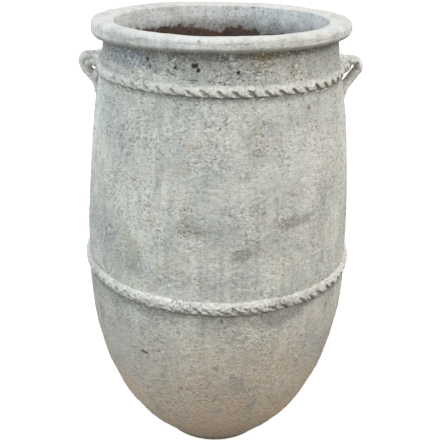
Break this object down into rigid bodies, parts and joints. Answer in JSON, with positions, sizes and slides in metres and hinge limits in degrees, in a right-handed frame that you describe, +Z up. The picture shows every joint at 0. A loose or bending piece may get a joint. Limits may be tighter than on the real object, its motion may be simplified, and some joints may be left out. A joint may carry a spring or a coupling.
{
  "type": "storage jar",
  "caption": "Tall egg-shaped clay storage jar with a rolled rim, a drawn-in neck, rope-like raised bands, small strap handles and a narrow flat base.",
  "frame": {"origin": "centre of the standing face, on the ground", "axes": "+Z up along the jar's axis, +X towards the right handle, -Y towards the viewer"},
  "size_m": [0.6354, 0.6354, 1.042],
  "materials": {
    "wall_clay": "coarse fired clay with a worn whitish wash",
    "foot_clay": "coarse fired clay, the wash rubbed off",
    "rim_clay": "coarse fired clay with a thick whitish wash",
    "rope_clay": "coarse fired clay with a worn whitish wash",
    "handle_clay": "coarse fired clay with a worn whitish wash"
  },
  "bodies": {
    "root": {"floor_slab": "foot_clay", "wall_course_1": "wall_clay", "wall_course_2": "wall_clay", "wall_course_3": "wall_clay", "wall_course_4": "wall_clay", "wall_course_5": "wall_clay", "wall_course_6": "wall_clay", "neck_collar": "wall_clay", "rim_roll": "rim_clay", "belt_rope": "rope_clay", "neck_rope": "rope_clay", "right_handle": "handle_clay", "left_handle": "handle_clay"}
  },
  "joints": []
}
